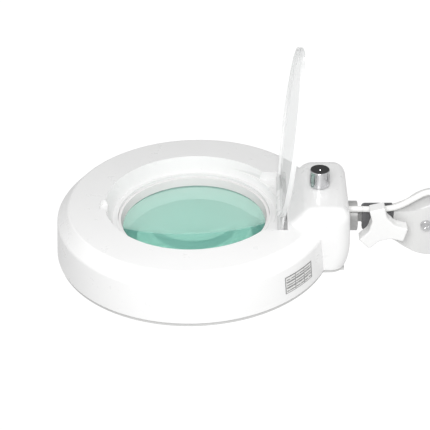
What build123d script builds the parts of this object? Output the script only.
from build123d import *
from math import sin, cos, radians, sqrt, hypot
import os

# Bench magnifying lamp: round fluorescent head with a 127 mm lens, flip-up lens cover,
# tilting and rolling head joint, two-section parallel-bar balanced arm, table clamp.
# Frame: origin on the table top, on the axis of the clamp's vertical socket, +Z up.
# The head lies towards -X and the whole arm lies in the plane Y = 0.
# "Front" is -Y, "back" is +Y. Sizes are in millimetres, angles in degrees.
# "Head frame" values are measured from the lens axis and the lower rim of the head.

os.makedirs("parts", exist_ok=True)

# ================================================================= DRIVING DIMENSIONS
# ---- head housing (head frame)
wall = 2.5
rim_r = 117.0
shoulder_r = 114.4
shoulder_z = 30.0
flat_r = 104.5                  # edge of the flat top
flat_z = 40.0
dish_r = 74.0                   # upper edge of the dish in the top
floor_r = 68.5
floor_z = 26.5
box_end = 129.2                 # far end of the rear box, towards +X
box_half = 45.0                 # half its width
box_top = 55.0
screw_ring_r = 109.6            # housing screws in the rim
box_screw_x = 119.0
box_screw_y = 33.0

# ---- lens and its well (head frame)
lens_r = 63.5
well_r = 64.0
sight_r = 61.0                  # opening below the lens
lens_edge_low = 12.5
lens_edge_high = 16.5
seat_z = 11.65                  # top of the ledge the lens rests on
lens_curve = 208.0              # surface radius of a 5 dioptre biconvex lens

# ---- lens cover (head frame)
cover_r = 68.5
hinge_x = 73.0
hinge_z = 35.5
hinge_pin_r = 1.3
cover_open = 97.0               # opening angle

# ---- fluorescent tube and switch (head frame)
tube_ring_r = 90.5
tube_r = 14.3
tube_z = 15.0
tube_gap = 8.0                  # half angle between the tube's ends
knob_x = 105.0
knob_y = -1.0

# ---- head joint (head frame)
tilt_x = 156.5                  # head tilt bolt
tilt_z = 24.5
tilt_bolt_r = 3.0
tilt_bore_r = 3.05
shaft_r = 6.0                   # shaft the head rolls on
lead_y = -9.5                   # lamp lead where it leaves the box
lead_z = 37.0
lead_r = 2.5
knuckle_x = 212.0               # middle of the bar pivots at the head end
knuckle_z = 20.5
tail_bolt_x = 193.2             # bolt through the knuckle near the fork's tail
tail_bolt_z = 24.2
tail_bolt_r = 2.6

# ---- arm
pivot_half = 14.5               # half the distance between paired bar pivots
bar_height = 11.0
bar_width = 10.0
bar_wall = 1.2
bar_overhang = 9.0              # bar beyond each pivot
arm_length = 380.0
lower_lean = 10.0               # lower arm from the vertical
upper_drop = 30.0               # upper arm below the horizontal
base_z = 98.0                   # lower arm pivots above the table
elbow_step = 30.0               # from the lower to the upper arm's pivots, in x and z

# ---- knuckle shells, pivots and spigot
shell_y = 14.0                  # outer face from Y = 0
shell_wall = 2.5
split_y = 0.1                   # half the gap between two half shells
pin_r = 3.0
bar_hole_r = 3.05
bore_gap = 0.02                 # added to a bolt's radius for its bore or nut
boss_r = 5.5
boss_inner_y = 5.6
boss_length = shell_y - boss_inner_y - 1.0
spigot_r = 6.35
socket_r = 6.4
jaw_bolt_r = 2.0

# ================================================================= DERIVED POSITIONS
elbow_x = arm_length * sin(radians(lower_lean))
elbow_z = base_z + arm_length * cos(radians(lower_lean))
upper_x = elbow_x - elbow_step
upper_z = elbow_z + elbow_step
head_x = upper_x - arm_length * cos(radians(upper_drop)) - knuckle_x
head_z = upper_z - arm_length * sin(radians(upper_drop)) - knuckle_z
jaw_z = base_z - 38             # bolt that clamps the base knuckle on its spigot

# pivot centres, (x, z)
base_left = (-pivot_half, base_z)
base_right = (pivot_half, base_z)
elbow_left = (elbow_x - pivot_half, elbow_z)
elbow_right = (elbow_x + pivot_half, elbow_z)
elbow_low = (upper_x, upper_z - pivot_half)
elbow_high = (upper_x, upper_z + pivot_half)
head_low = (head_x + knuckle_x, head_z + knuckle_z - pivot_half)
head_high = (head_x + knuckle_x, head_z + knuckle_z + pivot_half)


# ================================================================= HELPERS
def side_plane(x, y, z):
    """Plane facing -Y, its own axes along +X and +Z."""
    return Plane(origin=(x, y, z), x_dir=(1, 0, 0), z_dir=(0, -1, 0))


def head_side(x, y, z):
    """Plane facing -Y, at a point of the head frame."""
    return side_plane(head_x + x, y, head_z + z)


def head_end(x, y, z):
    """Plane facing +X, its own axes along +Y and +Z, at a point of the head frame."""
    return Plane(origin=(head_x + x, y, head_z + z), x_dir=(0, 1, 0), z_dir=(1, 0, 0))


def head_radial(degrees):
    """Plane through the lens axis, its own x pointing outwards at this angle from +X."""
    angle = radians(degrees)
    return Plane(
        origin=(head_x, 0, head_z),
        x_dir=(cos(angle), sin(angle), 0),
        z_dir=(sin(angle), -cos(angle), 0),
    )


head_xy = Plane(origin=(head_x, 0, head_z))
head_xz = head_side(0, 0, 0)
lens_axis = Axis((head_x, 0, 0), (0, 0, 1))


def rim_screws():
    return PolarLocations(screw_ring_r, 4, start_angle=65, angular_range=230, endpoint=True)


def box_screws():
    return Locations((box_screw_x, box_screw_y), (box_screw_x, -box_screw_y))


def screw_circles(radius):
    """Circle at every housing screw, drawn in the sketch that is open."""
    with rim_screws():
        Circle(radius)
    with box_screws():
        Circle(radius)


def cross(length, width):
    """Cross slot, drawn in the sketch that is open."""
    Rectangle(length, width)
    Rectangle(width, length)


def soften(builder, edges, radius):
    """Round the given edges, stepping the radius down where the corner is too tight."""
    for size in (radius, radius * 0.7, radius * 0.45, radius * 0.25):
        # a radius that doesn't fit raises ValueError; edges stay sharp if none fits
        try:
            builder.part = builder.part.fillet(size, list(edges))
            return
        except ValueError:
            pass


def save(builder, name):
    builder.part.label = name
    export_step(builder.part, "parts/" + name + ".step")


# ================================================================= HEAD
# ---- space inside the rear box
void_top = box_top - wall
void_half = box_half - wall
void_roof = flat_z - 2.2        # over the round part
void_outline = [                # (x, z), head frame
    (80, -1), (122.4, -1), (125.2, 8), (126.5, 19), (126.2, 32),
    (125.3, void_top), (97.5, void_top), (81, void_roof), (80, void_roof),
]
with BuildPart() as box_void:
    with BuildSketch(head_xz):
        with BuildLine():
            Polyline(*void_outline, close=True)
        make_face()
    extrude(amount=void_half, both=True)
    roof_sides = box_void.edges().filter_by(
        lambda edge: abs(edge.center().Y) > 40
        and edge.center().Z > head_z + 44
        and edge.center().X < head_x + 120
    )
    fillet(roof_sides, radius=10)
    roof_end = box_void.edges().filter_by(Axis.Y).filter_by(
        lambda edge: edge.center().Z > head_z + 50 and edge.center().X > head_x + 120
    )
    fillet(roof_end, radius=6)
    # round the upright corners
    with BuildSketch(head_xy.offset(-1)):
        with Locations((93.25, 0)):
            RectangleRounded(66.5, 2 * void_half, 8.5)
    extrude(amount=box_top + 2, mode=Mode.INTERSECT)

# ---- upper housing: dished round shell with the raised rear box
box_start = 50.0                # inside the round shell
box_end_curve = [               # (x, z), lower to upper edge of the bulged end wall
    (box_end - 3.7, 0), (box_end - 1.2, 8), (box_end, 19), (box_end - 0.3, 32),
    (box_end - 1.4, box_top),
]
hollow_outline = [              # (radius, z) of the ring-shaped space for the tube
    (66.5, -1), (114.4, -1), (112.0, 29.2), (103.6, 37.5), (76.4, 37.5),
    (70.8, 24.0), (66.5, 24.0),
]
screw_hole_r = 1.5
with BuildPart() as upper_housing:
    with BuildSketch(head_xz):
        with BuildLine():
            Line((box_start, 0), box_end_curve[0])
            Spline(*box_end_curve, tangents=((0.4, 1), (-0.08, 1)))
            Polyline(
                box_end_curve[-1], (95, box_top), (79.5, flat_z),
                (box_start, flat_z), (box_start, 0),
            )
        make_face()
        ramp_top = vertices().filter_by(lambda corner: abs(corner.X - 95) < 0.5 and corner.Y > 50)
        fillet(ramp_top, radius=14)
    extrude(amount=box_half, both=True)
    end_edges = upper_housing.edges().filter_by(
        lambda edge: edge.center().X > head_x + box_end - 2.6
        and abs(edge.center().Y) > 40
        and edge.length > 45
    )
    fillet(end_edges, radius=11)
    top_edges = upper_housing.edges().filter_by(
        lambda edge: edge.center().Z > head_z + 41
        and edge.center().X > head_x + 80
        and (abs(edge.center().Y) > 30 or edge.center().X > head_x + box_end - 4.5)
        and edge.bounding_box().size.Z < 20
    )
    fillet(top_edges, radius=11)
    # round shell
    with BuildSketch(head_xz):
        with BuildLine():
            Polyline(
                (0, 0), (rim_r, 0), (shoulder_r, shoulder_z), (flat_r, flat_z), (0, flat_z),
                close=True,
            )
        make_face()
    revolve(axis=lens_axis)
    with BuildSketch(head_xz):
        with BuildLine():
            Polyline(*hollow_outline, close=True)
        make_face()
    revolve(axis=lens_axis, mode=Mode.SUBTRACT)
    add(box_void.part, mode=Mode.SUBTRACT)
    # floor and walls of the hinge pocket
    with BuildSketch(head_xy.offset(31.4)):
        with Locations((65, 0)):
            Rectangle(31, 100)
    extrude(amount=8.6)
    # thicker roof behind the finger notch
    with BuildSketch(head_xy.offset(31.6)):
        with Locations((-78, -8)):
            Rectangle(17, 28)
    extrude(amount=7)
    # dish
    with BuildSketch(head_xz):
        with BuildLine():
            Polyline(
                (0, floor_z), (floor_r, floor_z), (dish_r, flat_z),
                (dish_r, flat_z + 1), (0, flat_z + 1),
                close=True,
            )
        make_face()
    revolve(axis=lens_axis, mode=Mode.SUBTRACT)
    # hinge pocket
    with BuildSketch(head_xy.offset(32.4)):
        with Locations((64, 0)):
            Rectangle(28, 92)
    extrude(amount=9, mode=Mode.SUBTRACT)
    # screw bosses, then their blind holes
    with BuildSketch(head_xy):
        with rim_screws():
            Circle(3.2)
    extrude(amount=30.6)
    with BuildSketch(head_xy):
        with box_screws():
            Circle(3.4)
    extrude(amount=box_top - 1.9)
    with BuildSketch(head_xy.offset(-1)):
        screw_circles(screw_hole_r)
    extrude(amount=15, mode=Mode.SUBTRACT)
    # recess that the closed cover lies in
    with BuildSketch(head_xy.offset(32.1)):
        with Locations((hinge_x - cover_r, 0)):
            Circle(cover_r + 0.6)
    extrude(amount=9, mode=Mode.SUBTRACT)
    # raised lip round the lens well, then the well and its seat
    with BuildSketch(head_xy.offset(floor_z - 0.5)):
        Circle(65.6)
        Circle(well_r, mode=Mode.SUBTRACT)
    extrude(amount=1.3)
    with BuildSketch(head_xy.offset(seat_z)):
        Circle(well_r)
    extrude(amount=20, mode=Mode.SUBTRACT)
    with BuildSketch(head_xy.offset(-1)):
        Circle(sight_r)
    extrude(amount=20, mode=Mode.SUBTRACT)
    with BuildSketch(head_xy.offset(-1)):
        Circle(well_r)
    extrude(amount=10.5, mode=Mode.SUBTRACT)
    # finger notch opposite the hinge
    with BuildSketch(head_xy.offset(35.5)):
        with Locations((-dish_r, -8)):
            SlotOverall(16, 8, rotation=90)
    extrude(amount=9, mode=Mode.SUBTRACT)
    # centre hinge knuckle
    with BuildSketch(head_side(hinge_x, 19, hinge_z)):
        Circle(3.1)
        with Locations((2.6, -1.5)):
            Rectangle(4.0, 4.0)
    extrude(amount=38)
    with BuildSketch(head_side(hinge_x, 19.5, hinge_z)):
        Circle(hinge_pin_r)
    extrude(amount=39, mode=Mode.SUBTRACT)
    # holes for the switch, the swivel shaft and the lead
    with BuildSketch(head_xy.offset(box_top - 7)):
        with Locations((knob_x, knob_y)):
            Circle(5.1)
    extrude(amount=8, mode=Mode.SUBTRACT)
    with BuildSketch(head_end(box_end - 8, 0, tilt_z)):
        Circle(shaft_r + 0.05)
    extrude(amount=12, mode=Mode.SUBTRACT)
    with BuildSketch(head_end(box_end - 8, lead_y, lead_z)):
        Circle(4.1)
    extrude(amount=12, mode=Mode.SUBTRACT)
    # guards the shoulder rounding: the shell keeps sharp shoulders where it can't be made
    try:
        shoulders = upper_housing.edges().filter_by(GeomType.CIRCLE).filter_by(
            lambda edge: abs(edge.radius - flat_r) < 0.2 or abs(edge.radius - shoulder_r) < 0.2
        )
        fillet(shoulders, radius=3.0)
    except Exception:
        pass
save(upper_housing, "upper_housing")

# ---- lower cover: rim ring and box floor
lower_cover_z = -3.2            # underside
with BuildPart() as lower_cover:
    with BuildSketch(head_xy.offset(lower_cover_z)):
        Circle(116)
        with Locations((87.5, 0)):
            RectangleRounded(75.0, 87.6, 12)
        Circle(106.8, mode=Mode.SUBTRACT)
    extrude(amount=3.1)
    with BuildSketch(head_xy.offset(lower_cover_z)):
        with Locations((101, 0)):
            Rectangle(48, 80)
        Circle(77, mode=Mode.SUBTRACT)
    extrude(amount=2.2)
    # screw holes and counterbores
    with BuildSketch(head_xy.offset(lower_cover_z)):
        screw_circles(1.7)
    extrude(amount=4, mode=Mode.SUBTRACT)
    with BuildSketch(head_xy.offset(lower_cover_z)):
        screw_circles(2.75)
    extrude(amount=1.2, mode=Mode.SUBTRACT)
save(lower_cover, "lower_cover")

# ---- housing screws with cross-slotted heads, driven from below
screw_head_z = -3.1
with BuildPart() as housing_screws:
    with BuildSketch(head_xy.offset(screw_head_z)):
        screw_circles(2.6)
    extrude(amount=1.0)
    with BuildSketch(head_xy.offset(-2.2)):
        screw_circles(1.4)
    extrude(amount=13)
    with BuildSketch(head_xy.offset(screw_head_z)):
        with rim_screws():
            cross(3.4, 0.7)
        with box_screws():
            cross(3.4, 0.7)
    extrude(amount=0.7, mode=Mode.SUBTRACT)
save(housing_screws, "housing_screws")

# ---- biconvex lens
sag = lens_curve - sqrt(lens_curve**2 - lens_r**2)
lens_bottom = (0, lens_edge_low - sag)
lens_top = (0, lens_edge_high + sag)
with BuildPart() as lens:
    with BuildSketch(head_xz):
        with BuildLine():
            Line(lens_bottom, lens_top)
            RadiusArc(lens_top, (lens_r, lens_edge_high), lens_curve)
            Line((lens_r, lens_edge_high), (lens_r, lens_edge_low))
            RadiusArc((lens_r, lens_edge_low), lens_bottom, lens_curve)
        make_face()
    revolve(axis=lens_axis)
save(lens, "lens")

# ---- lens trim ring that holds the lens down in its well
ring_outline = [                # (radius, z)
    (60.2, 17.65), (63.4, 16.8), (63.8, 17.5), (63.8, 24.6), (61.6, 24.6),
]
with BuildPart() as lens_ring:
    with BuildSketch(head_xz):
        with BuildLine():
            Polyline(*ring_outline, close=True)
        make_face()
    revolve(axis=lens_axis)
save(lens_ring, "lens_ring")

# ---- flat reflector ring over the tube
with BuildPart() as reflector:
    with BuildSketch(head_xy.offset(30.2)):
        Circle(106.2)
        Circle(74.8, mode=Mode.SUBTRACT)
    extrude(amount=1.0)
save(reflector, "reflector")

# ---- circular fluorescent tube, its connector cap and its clips
with BuildPart() as circular_tube:
    with BuildSketch(head_radial(tube_gap)):
        with Locations((tube_ring_r, tube_z)):
            Circle(tube_r)
    revolve(axis=lens_axis, revolution_arc=360 - 2 * tube_gap)
save(circular_tube, "circular_tube")

with BuildPart() as tube_cap:
    with BuildSketch(head_radial(-tube_gap)):
        with Locations((tube_ring_r, tube_z)):
            Circle(tube_r + 0.6)
    revolve(axis=lens_axis, revolution_arc=2 * tube_gap)
    with BuildSketch(head_end(tube_ring_r + 13.5, 0, tube_z)):
        Rectangle(16, 12)
    extrude(amount=5.0)
save(tube_cap, "tube_cap")

clip_arc = 5                    # width of a clip as an angle
with BuildPart() as tube_clips:
    for clip_angle in (90, 180, 270):
        with BuildSketch(head_radial(clip_angle - clip_arc / 2)):
            with Locations((tube_ring_r, tube_z)):
                Circle(15.1)
                Circle(tube_r + 0.1, mode=Mode.SUBTRACT)
            # open the clip at the bottom
            with Locations((tube_ring_r, tube_z - 16)):
                Rectangle(22, 16, mode=Mode.SUBTRACT)
        revolve(axis=lens_axis, revolution_arc=clip_arc)
save(tube_clips, "tube_clips")

# ---- ballast and terminal block, standing in the rear box
electrics_z = 3
with BuildPart() as ballast:
    with BuildSketch(head_xy.offset(electrics_z)):
        with Locations((115, -20.5)):
            RectangleRounded(15, 15, 1.5)
    extrude(amount=38)
save(ballast, "ballast")

terminal_y = 22
with BuildPart() as terminal_block:
    with BuildSketch(head_xy.offset(electrics_z)):
        with Locations((116, terminal_y)):
            Rectangle(12, 12)
    extrude(amount=24)
    for z in (7, 15, 23):
        with BuildSketch(head_end(109, terminal_y, z)):
            Circle(1.6)
        extrude(amount=14, mode=Mode.SUBTRACT)
save(terminal_block, "terminal_block")


# ---- mains switch, its nut and its knob
def switch_plane(z):
    """Level plane on the switch axis, z in the head frame."""
    return Plane(origin=(head_x + knob_x, knob_y, head_z + z))


with BuildPart() as rotary_switch:
    with BuildSketch(switch_plane(void_top - 9.0)):
        Circle(7.2)
    extrude(amount=8.8)
    with BuildSketch(switch_plane(void_top - 0.2)):
        Circle(5.0)
    extrude(amount=5.4)
    with BuildSketch(switch_plane(box_top + 2)):
        Circle(2.95)
    extrude(amount=8)
save(rotary_switch, "rotary_switch")

with BuildPart() as switch_nut:
    with BuildSketch(switch_plane(box_top + 0.05)):
        RegularPolygon(6.6, 6)
        Circle(5.05, mode=Mode.SUBTRACT)
    extrude(amount=1.7)
save(switch_nut, "switch_nut")

switch_knob_r = 8.2
switch_knob_z = box_top + 0.5   # underside
with BuildPart() as switch_knob:
    with BuildSketch(switch_plane(switch_knob_z)):
        Circle(switch_knob_r)
    extrude(amount=14.5)
    # space for the nut, then the spindle bore
    with BuildSketch(switch_plane(switch_knob_z)):
        Circle(7.1)
    extrude(amount=3.2, mode=Mode.SUBTRACT)
    with BuildSketch(switch_plane(switch_knob_z)):
        Circle(3.0)
    extrude(amount=10.2, mode=Mode.SUBTRACT)
    fillet(switch_knob.faces().sort_by(Axis.Z)[-1].edges(), radius=0.8)
    # grooves round the side, then a pointer line in the top
    with BuildSketch(switch_plane(box_top + 2.6)):
        with PolarLocations(switch_knob_r, 36):
            Rectangle(0.5, 0.55)
    extrude(amount=9.0, mode=Mode.SUBTRACT)
    with BuildSketch(switch_plane(box_top + 14.6)):
        with Locations((0, -4.2)):
            Rectangle(0.9, 7.0)
    extrude(amount=1.0, mode=Mode.SUBTRACT)
save(switch_knob, "switch_knob")

# ---- flip-up lens cover, standing open
open_cos = cos(radians(cover_open))
open_sin = sin(radians(cover_open))
cover_dir = (-open_cos, 0, open_sin)    # from the hinge to the tip
cover_plane = Plane(
    origin=(head_x + hinge_x, 0, head_z + hinge_z),
    x_dir=cover_dir,
    z_dir=(open_sin, 0, open_cos),      # up when the cover is closed
)
plate_under = -1.0
plate_thick = 1.8
barrel_length = 24
with BuildPart() as lens_cover:
    with BuildSketch(cover_plane.offset(plate_under)):
        with Locations((cover_r, 0)):
            Circle(cover_r)
        with Locations((14, 0)):
            Rectangle(20, 86)
    extrude(amount=plate_thick)
    # rim under the plate, left out near the hinge
    with BuildSketch(cover_plane.offset(-2.9)):
        with Locations((cover_r, 0)):
            Circle(cover_r)
            Circle(cover_r - 1.8, mode=Mode.SUBTRACT)
        with Locations((-3, 0)):
            Rectangle(26, 120, mode=Mode.SUBTRACT)
    extrude(amount=3.0)
    # finger tab at the tip
    with BuildSketch(cover_plane.offset(plate_under)):
        with Locations((2 * cover_r - 1.9, 0)):
            RectangleRounded(7, 16, 2.4)
    extrude(amount=plate_thick)
    # hinge barrels and the webs that join them to the plate
    for barrel_y in (-44, 20):
        barrel_plane = Plane(
            origin=(head_x + hinge_x, barrel_y + barrel_length, head_z + hinge_z),
            x_dir=cover_dir,
            z_dir=(0, -1, 0),
        )
        with BuildSketch(barrel_plane):
            Circle(2.9)
            with Locations((3.0, 0)):
                Rectangle(6.0, 1.8)
        extrude(amount=barrel_length)
    # pin bore, then room for the housing's hinge knuckle
    with BuildSketch(head_side(hinge_x, 50, hinge_z)):
        Circle(hinge_pin_r + 0.05)
    extrude(amount=100, mode=Mode.SUBTRACT)
    with BuildSketch(head_side(hinge_x, 19.6, hinge_z)):
        Circle(3.6)
    extrude(amount=39.2, mode=Mode.SUBTRACT)
save(lens_cover, "lens_cover")

with BuildPart() as hinge_pin:
    with BuildSketch(head_side(hinge_x, 45.5, hinge_z)):
        Circle(hinge_pin_r)
    extrude(amount=91)
save(hinge_pin, "hinge_pin")

# ---- swivel collar and tongue: the head rolls on its shaft, through the box's end wall
tongue_x = box_end + 6
tongue_half_y = 2.9
with BuildPart() as head_tongue:
    with BuildSketch(head_end(box_end + 0.1, 0, tilt_z)):
        Circle(12.5)
    extrude(amount=7.9)
    fillet(head_tongue.edges().filter_by(GeomType.CIRCLE), radius=0.6)
    with BuildSketch(head_end(box_end - 12.5, 0, tilt_z)):
        Circle(shaft_r)
    extrude(amount=13)
    with BuildSketch(head_side(0, tongue_half_y, 0)):
        with Locations(((tongue_x + tilt_x) / 2, tilt_z)):
            Rectangle(tilt_x - tongue_x, 8.0)
        with Locations((tilt_x, tilt_z)):
            Circle(6.4)
    extrude(amount=2 * tongue_half_y)
    with BuildSketch(head_side(tilt_x, 5, tilt_z)):
        Circle(tilt_bore_r)
    extrude(amount=10, mode=Mode.SUBTRACT)
save(head_tongue, "head_tongue")

with BuildPart() as tongue_nut:
    with BuildSketch(head_end(box_end - 10.4, 0, tilt_z)):
        RegularPolygon(10.0, 6)
        Circle(shaft_r + 0.05, mode=Mode.SUBTRACT)
    extrude(amount=5.0)
save(tongue_nut, "tongue_nut")

# ---- grommet in the end wall and the lead through it
with BuildPart() as cable_grommet:
    with BuildSketch(head_end(box_end - 6.0, lead_y, lead_z)):
        Circle(4.05)
        Circle(lead_r + 0.05, mode=Mode.SUBTRACT)
    extrude(amount=5.6)
save(cable_grommet, "cable_grommet")

with BuildPart() as head_lead:
    with BuildSketch(head_end(box_end - 10, lead_y, lead_z)):
        Circle(lead_r)
    extrude(amount=13)
save(head_lead, "head_lead")

# ---- blank rating sticker on the rim, towards +X and the front
label_outline = [(116.43, 7), (115.13, 22), (115.30, 22), (116.60, 7)]   # (radius, z)
with BuildPart() as rating_label:
    with BuildSketch(head_radial(-49.2)):
        with BuildLine():
            Polyline(*label_outline, close=True)
        make_face()
    revolve(axis=lens_axis, revolution_arc=16)
save(rating_label, "rating_label")

# ================================================================= HEAD JOINT
# ---- fork that carries the tilt bolt; its tail is held in the head knuckle
fork_start = 141.0
fork_end = 166.6
fork_low = 14.4
fork_high = 33.0
fork_half_y = 6.6
slot_half_y = 3.7
tail_r = 5.0
with BuildPart() as tilt_fork:
    with BuildSketch(head_side(0, fork_half_y, 0)):
        with Locations(((fork_start + fork_end) / 2, (fork_low + fork_high) / 2)):
            Rectangle(fork_end - fork_start, fork_high - fork_low)
    extrude(amount=2 * fork_half_y)
    prong_tips = tilt_fork.edges().filter_by(Axis.Y).filter_by(
        lambda edge: edge.center().X < head_x + 150
    )
    fillet(prong_tips, radius=3.0)
    with BuildSketch(head_side(0, slot_half_y, 0)):
        with Locations((tilt_x - 8.1, tilt_z)):
            Rectangle(30.6, 26)
    extrude(amount=2 * slot_half_y, mode=Mode.SUBTRACT)
    with BuildSketch(head_end(fork_end - 1, 0, tilt_z)):
        Circle(tail_r)
    extrude(amount=18)
    with BuildSketch(head_side(tilt_x, 8, tilt_z)):
        Circle(tilt_bore_r)
    extrude(amount=16, mode=Mode.SUBTRACT)
save(tilt_fork, "tilt_fork")

# ---- washers between the tongue and the fork
with BuildPart() as friction_washers:
    for washer_y in (3.65, -2.95):
        with BuildSketch(head_side(tilt_x, washer_y, tilt_z)):
            Circle(6.2)
            Circle(3.1, mode=Mode.SUBTRACT)
        extrude(amount=0.7)
save(friction_washers, "friction_washers")

# ---- tilt bolt, hexagon head at the back
with BuildPart() as tilt_bolt:
    with BuildSketch(head_side(tilt_x, 7.0, tilt_z)):
        Circle(tilt_bolt_r)
    extrude(amount=26)
    with BuildSketch(head_side(tilt_x, 10.7, tilt_z)):
        RegularPolygon(5.8, 6)
    extrude(amount=4.0)
save(tilt_bolt, "tilt_bolt")


# ---- three-lobed clamping knob on a short hub, so its lobes clear the lead
def tilt_axis_distance(edge):
    centre = edge.center()
    return hypot(centre.X - head_x - tilt_x, centre.Z - head_z - tilt_z)


with BuildPart() as tilt_knob:
    with BuildSketch(head_side(tilt_x, -12.7, tilt_z)):
        with PolarLocations(10.6, 3, start_angle=105):
            Rectangle(19.2, 12.8)
        Circle(10.4)
    extrude(amount=10.5)
    lobe_joins = tilt_knob.edges().filter_by(Axis.Y).filter_by(
        lambda edge: tilt_axis_distance(edge) < 12
    )
    fillet(lobe_joins, radius=9.0)
    lobe_tips = tilt_knob.edges().filter_by(Axis.Y).filter_by(
        lambda edge: tilt_axis_distance(edge) > 19
    )
    fillet(lobe_tips, radius=1.2)
    soften(tilt_knob, tilt_knob.faces().sort_by(Axis.Y)[0].edges(), 1.4)
    # hub and bolt bore
    with BuildSketch(head_side(tilt_x, -6.7, tilt_z)):
        Circle(6.6)
    extrude(amount=6.5)
    with BuildSketch(head_side(tilt_x, -6.0, tilt_z)):
        Circle(tilt_bore_r)
    extrude(amount=13.1, mode=Mode.SUBTRACT)
save(tilt_knob, "tilt_knob")

# ---- lamp lead where it runs over the fork and into the head knuckle
lead_points = [                 # (x, y, z), x and z in the head frame
    (145.0, -9.5, 36.8), (156.0, -9.5, 36.8), (166.0, -9.4, 38.2), (174.0, -8.4, 41.0),
    (183.0, -6.4, 45.4), (190.0, -5.7, 49.3), (195.0, -5.9, 50.8), (200.0, -6.8, 50.3),
    (205.0, -7.8, 48.4), (210.5, -8.2, 45.4),
]
with BuildPart() as arm_lead:
    with BuildLine() as lead_path:
        Spline(*[(head_x + x, y, head_z + z) for x, y, z in lead_points])
    with BuildSketch(Plane(origin=lead_path.line @ 0, z_dir=lead_path.line % 0)):
        Circle(lead_r)
    sweep()
save(arm_lead, "arm_lead")

# ================================================================= KNUCKLES
# Outlines of the head knuckle, (x, z) in the head frame. The shell is two splines joined
# by an arc round the pivots and a straight edge at the neck; its hollow is open at +X.
shell_under = [(167, 4.9), (171, 3.2), (175.7, 0.3), (183.3, -2.7), (190.9, -4.9), (200, -5.6)]
shell_over = [(200, 43.8), (193, 42.2), (187, 39.2), (181, 35.7), (174, 33.6), (167, 32.2)]
shell_nose = (235.5, 19.1)
hollow_under = [(188, -1.4), (194, -2.8), (202, -3.2)]
hollow_mouth = [(202, -3.2), (203, -12), (250, -12), (250, 56), (203, 56), (202, 41.4)]
hollow_over = [(202, 41.4), (195, 39.9), (188, 36.6)]
neck_width = [                  # (x, y) of the neck's back face, mirrored for the front
    (160, 6.6), (169, 6.6), (178, 9.6), (184, 12.4), (190, shell_y), (190, 20), (160, 20),
]


def head_knuckle(side, name):
    """One moulded half shell; side is 1 at the back, -1 at the front."""
    with BuildPart() as half:
        with BuildSketch(head_side(0, split_y * side, 0)):
            with BuildLine():
                Spline(*shell_under)
                ThreePointArc(shell_under[-1], shell_nose, shell_over[0])
                Spline(*shell_over)
                Line(shell_over[-1], shell_under[0])
            make_face()
        extrude(amount=-side * (shell_y - split_y))
        # narrow neck, widening behind the clamping knob
        with BuildSketch(head_xy.offset(-20)):
            with BuildLine():
                Polyline(*[(x, y * side) for x, y in neck_width], close=True)
            make_face()
        extrude(amount=90, mode=Mode.SUBTRACT)
        outer_edges = half.edges().filter_by(
            lambda edge: abs(edge.center().Y) > shell_y - 0.2
            and edge.center().X > head_x + 190.2
        )
        soften(half, outer_edges, 5.0)
        with BuildSketch(head_xz):
            with BuildLine():
                Spline(*hollow_under)
                Polyline(*hollow_mouth)
                Spline(*hollow_over)
                Line(hollow_over[-1], hollow_under[0])
            make_face()
        extrude(amount=-side * (shell_y - shell_wall), mode=Mode.SUBTRACT)
        # hole for the fork's tail
        with BuildSketch(head_end(160, 0, tilt_z)):
            Circle(tail_r + 0.06)
        extrude(amount=40, mode=Mode.SUBTRACT)
        # bar pivot bosses
        for x, z in (head_low, head_high):
            with BuildSketch(side_plane(x, boss_inner_y * side, z)):
                Circle(boss_r)
            extrude(amount=-side * boss_length)
            with BuildSketch(side_plane(x, 0, z)):
                Circle(pin_r + bore_gap)
            extrude(amount=-side * 20, mode=Mode.SUBTRACT)
        # boss for the bolt near the tail
        with BuildSketch(head_side(tail_bolt_x, 0.2 * side, tail_bolt_z)):
            Circle(5.0)
        extrude(amount=-side * (shell_y - 1.2))
        with BuildSketch(head_side(tail_bolt_x, 0, tail_bolt_z)):
            Circle(tail_bolt_r + bore_gap)
        extrude(amount=-side * 20, mode=Mode.SUBTRACT)
    save(half, name)


head_knuckle(1, "head_knuckle_back")
head_knuckle(-1, "head_knuckle_front")


def cheek_pair(name, pivots, hull, has_jaw=False):
    """Back and front plates with a boss at each pivot (x, z), outlined by the hull of
    circles (x, z, radius). A jaw adds half of a clamping block round the spigot to each."""
    for side, side_name in ((1, "_back"), (-1, "_front")):
        with BuildPart() as plate:
            with BuildSketch(side_plane(0, (shell_y - shell_wall) * side, 0)):
                for x, z, radius in hull:
                    with Locations((x, z)):
                        Circle(radius)
                make_hull()
            extrude(amount=-side * shell_wall)
            outermost = -1 if side > 0 else 0
            outer_face = plate.faces().filter_by(Axis.Y).sort_by(Axis.Y)[outermost]
            soften(plate, outer_face.outer_wire().edges(), 1.2)
            for x, z in pivots:
                with BuildSketch(side_plane(x, boss_inner_y * side, z)):
                    Circle(boss_r)
                extrude(amount=-side * boss_length)
                with BuildSketch(side_plane(x, 0, z)):
                    Circle(pin_r + bore_gap)
                extrude(amount=-side * 20, mode=Mode.SUBTRACT)
            if has_jaw:
                with BuildSketch(side_plane(0, split_y * side, jaw_z)):
                    RectangleRounded(25, 25, 3)
                extrude(amount=-side * (shell_y - 1.1))
                with BuildSketch(Plane(origin=(0, 0, base_z - 60))):
                    Circle(spigot_r + bore_gap)
                extrude(amount=40, mode=Mode.SUBTRACT)
                with BuildSketch(side_plane(0, 0, jaw_z)):
                    Circle(jaw_bolt_r + bore_gap)
                extrude(amount=-side * 20, mode=Mode.SUBTRACT)
        save(plate, name + side_name)


base_pivots = [base_left, base_right]
elbow_pivots = [elbow_left, elbow_right, elbow_low, elbow_high]
head_pivots = [head_high, head_low]
cheek_pair("elbow", elbow_pivots, [(x, z, 11) for x, z in elbow_pivots])
base_hull = [(x, z, 12) for x, z in base_pivots] + [(0, base_z - 40, 13)]
cheek_pair("base_knuckle", base_pivots, base_hull, has_jaw=True)

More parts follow.
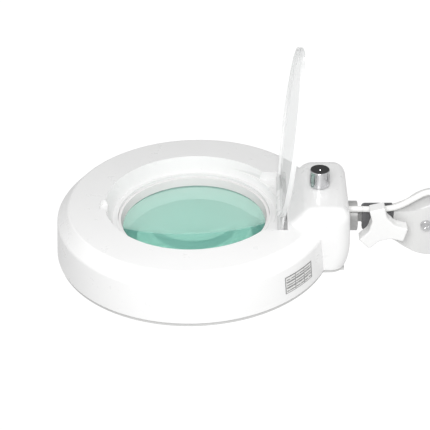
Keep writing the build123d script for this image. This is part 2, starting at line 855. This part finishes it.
# ---- bolts with cross-slotted heads at the front, and nuts at the back
nut_y = shell_y + 2.45


def pivot_bolt(x, z, radius):
    head_depth = radius * 0.9
    with BuildPart() as bolt:
        with BuildSketch(side_plane(x, shell_y + 2.5, z)):
            Circle(radius)
        extrude(amount=2 * shell_y + 5)
        with BuildSketch(side_plane(x, -shell_y - 0.05, z)):
            Circle(radius * 1.8)
        extrude(amount=head_depth)
        with BuildSketch(side_plane(x, -shell_y - head_depth + 0.7, z)):
            cross(radius * 2.0, 0.9)
        extrude(amount=3, mode=Mode.SUBTRACT)
    return bolt.part


def pivot_nut(x, z, radius):
    with BuildPart() as nut:
        with BuildSketch(side_plane(x, nut_y, z)):
            RegularPolygon(radius * 1.9, 6)
            Circle(radius + bore_gap, mode=Mode.SUBTRACT)
        extrude(amount=2.4)
    return nut.part


def fasteners(name, places):
    """Bolts and nuts at the given (x, z, bolt radius)."""
    with BuildPart() as bolts:
        for place in places:
            add(pivot_bolt(*place))
    save(bolts, name + "_bolts")
    with BuildPart() as nuts:
        for place in places:
            add(pivot_nut(*place))
    save(nuts, name + "_nuts")


tail_bolt = (head_x + tail_bolt_x, head_z + tail_bolt_z, tail_bolt_r)
fasteners("head_knuckle", [(x, z, pin_r) for x, z in head_pivots] + [tail_bolt])
fasteners("elbow", [(x, z, pin_r) for x, z in elbow_pivots])
fasteners("base", [(x, z, pin_r) for x, z in base_pivots] + [(0, jaw_z, jaw_bolt_r)])

# ================================================================= ARM BARS AND SPRINGS
post_at = 150                   # spring post, along the bar from its start pivot
spring_start = 12
spring_end = 146
spring_y = 8.5


def bar_plane(start, end, distance, y=0):
    """Plane across a bar, this far from its start pivot and facing its end pivot."""
    unit_x = (end[0] - start[0]) / arm_length
    unit_z = (end[1] - start[1]) / arm_length
    return Plane(
        origin=(start[0] + unit_x * distance, y, start[1] + unit_z * distance),
        x_dir=(0, 1, 0),
        z_dir=(unit_x, 0, unit_z),
    )


def bar(name, start, end, has_post=False):
    """Square tube between two pivots (x, z), with a cross post if it carries springs."""
    with BuildPart() as tube:
        with BuildSketch(bar_plane(start, end, -bar_overhang)):
            RectangleRounded(bar_width, bar_height, 1.6)
            RectangleRounded(
                bar_width - 2 * bar_wall, bar_height - 2 * bar_wall, 0.6, mode=Mode.SUBTRACT
            )
        extrude(amount=arm_length + 2 * bar_overhang)
        for x, z in (start, end):
            with BuildSketch(side_plane(x, 10, z)):
                Circle(bar_hole_r)
            extrude(amount=20, mode=Mode.SUBTRACT)
        if has_post:
            post = bar_plane(start, end, post_at).origin
            with BuildSketch(side_plane(post.X, 11.3, post.Z)):
                Circle(2.0)
            extrude(amount=22.6)
    save(tube, name)


def springs(name, start, end):
    """Pair of close-wound tension springs, as plain sleeves, beside a bar."""
    with BuildPart() as pair:
        for side in (1, -1):
            with BuildSketch(bar_plane(start, end, spring_start, spring_y * side)):
                Circle(2.7)
                Circle(1.7, mode=Mode.SUBTRACT)
            extrude(amount=spring_end - spring_start)
    save(pair, name)


bar("lower_bar_left", base_left, elbow_left, has_post=True)
bar("lower_bar_right", base_right, elbow_right)
bar("upper_bar_top", elbow_high, head_high)
bar("upper_bar_bottom", elbow_low, head_low, has_post=True)
springs("lower_springs", base_left, elbow_left)
springs("upper_springs", elbow_low, head_low)

# ================================================================= MAINS CORD
cord_x = 56
cord_end_z = -92
cord_points = [(12.6, 0, 70), (cord_x, 0, 70), (cord_x, 0, cord_end_z)]
with BuildPart() as mains_cord:
    with BuildLine():
        FilletPolyline(*cord_points, radius=36)
    with BuildSketch(Plane(origin=cord_points[0], z_dir=(1, 0, 0))):
        Circle(3.0)
    sweep()
save(mains_cord, "mains_cord")


def plug_plane(z):
    """Plane facing down on the axis of the hanging cord."""
    return Plane(origin=(cord_x, 0, z), x_dir=(1, 0, 0), z_dir=(0, 0, -1))


# ---- two-pin plug hanging on the cord: tapered neck, body, pins
with BuildPart() as mains_plug:
    with BuildSketch(plug_plane(cord_end_z - 0.1)):
        Circle(4.2)
    with BuildSketch(plug_plane(-106)):
        RectangleRounded(13, 30, 6)
    loft()
    with BuildSketch(plug_plane(-105.9)):
        RectangleRounded(13, 35, 6)
    extrude(amount=16)
    with BuildSketch(plug_plane(-121)):
        with Locations((0, 9.5), (0, -9.5)):
            Circle(2.0)
    extrude(amount=20)
save(mains_plug, "mains_plug")

# ================================================================= BASE AND CLAMP
clamp_screw_x = -20
clamp_thread_r = 5.0
lock_screw_z = 26
lock_screw_r = 2.5
tommy_z = -103
tommy_r = 2.5
tommy_half = 27


def clamp_plane(z):
    """Level plane on the axis of the clamp screw."""
    return Plane(origin=(clamp_screw_x, 0, z))


# ---- spigot with a collar that rests on the clamp's socket
spigot_low = 6
spigot_high = base_z - 30
with BuildPart() as spigot:
    with BuildSketch(Plane.XY.offset(spigot_low)):
        Circle(spigot_r)
    extrude(amount=spigot_high - spigot_low)
    with BuildSketch(side_plane(0, 8, jaw_z)):
        Circle(jaw_bolt_r + bore_gap)
    extrude(amount=16, mode=Mode.SUBTRACT)
    with BuildSketch(Plane.XY.offset(41.6)):
        Circle(11)
    extrude(amount=3.0)
save(spigot, "spigot")

# ---- C-shaped clamp, open towards -X, with the socket on top
clamp_outline = [               # (x, z)
    (-46, 0), (-46, 5), (22, 5), (22, -72), (-36, -72), (-36, -66), (16, -66), (16, 0),
]
with BuildPart() as clamp_body:
    with BuildSketch(Plane.XZ):
        with BuildLine():
            Polyline(*clamp_outline, close=True)
        make_face()
    extrude(amount=20, both=True)
    web_edges = clamp_body.edges().filter_by(Axis.Y).filter_by(lambda edge: edge.center().X > 15)
    fillet(web_edges, radius=2.5)
    jaw_tips = clamp_body.edges().filter_by(Axis.Z).filter_by(lambda edge: edge.center().X < -30)
    fillet(jaw_tips, radius=6)
    with BuildSketch(Plane.XY.offset(4.9)):
        Circle(13)
    extrude(amount=36.4)
    with BuildSketch(clamp_plane(-8)):
        Circle(clamp_thread_r + 0.06)
    extrude(amount=-80, mode=Mode.SUBTRACT)
    with BuildSketch(Plane.XY.offset(5.5)):
        Circle(socket_r)
    extrude(amount=50, mode=Mode.SUBTRACT)
    with BuildSketch(side_plane(0, 0, lock_screw_z)):
        Circle(lock_screw_r + 0.05)
    extrude(amount=16, mode=Mode.SUBTRACT)
save(clamp_body, "clamp_body")

# ---- screw that locks the spigot, with a round head at the front
with BuildPart() as lock_screw:
    with BuildSketch(side_plane(0, -6.9, lock_screw_z)):
        Circle(lock_screw_r)
    extrude(amount=12)
    with BuildSketch(side_plane(0, -15.5, lock_screw_z)):
        Circle(7.5)
    extrude(amount=9)
    fillet(lock_screw.faces().sort_by(Axis.Y)[0].edges(), radius=1.5)
save(lock_screw, "lock_screw")

# ---- clamp pad with a collar round the screw's end, and its facing
with BuildPart() as clamp_pad:
    with BuildSketch(clamp_plane(-30)):
        Circle(13)
    extrude(amount=3)
    with BuildSketch(clamp_plane(-37)):
        Circle(8)
        Circle(4.6, mode=Mode.SUBTRACT)
    extrude(amount=7.1)
save(clamp_pad, "clamp_pad")

with BuildPart() as pad_facing:
    with BuildSketch(clamp_plane(-26.95)):
        Circle(12.5)
    extrude(amount=2)
    fillet(pad_facing.faces().sort_by(Axis.Z)[-1].edges(), radius=0.6)
save(pad_facing, "pad_facing")

# ---- clamp screw and the tommy bar through its lower end
with BuildPart() as clamp_screw:
    with BuildSketch(clamp_plane(-31)):
        Circle(4.5)
    extrude(amount=-7)
    with BuildSketch(clamp_plane(-38)):
        Circle(clamp_thread_r)
    extrude(amount=-70)
    with BuildSketch(side_plane(clamp_screw_x, 20, tommy_z)):
        Circle(tommy_r + 0.05)
    extrude(amount=40, mode=Mode.SUBTRACT)
save(clamp_screw, "clamp_screw")

with BuildPart() as tommy_bar:
    with BuildSketch(side_plane(clamp_screw_x, tommy_half, tommy_z)):
        Circle(tommy_r)
    extrude(amount=2 * tommy_half)
    with Locations((clamp_screw_x, tommy_half, tommy_z), (clamp_screw_x, -tommy_half, tommy_z)):
        Sphere(4.0)
save(tommy_bar, "tommy_bar")
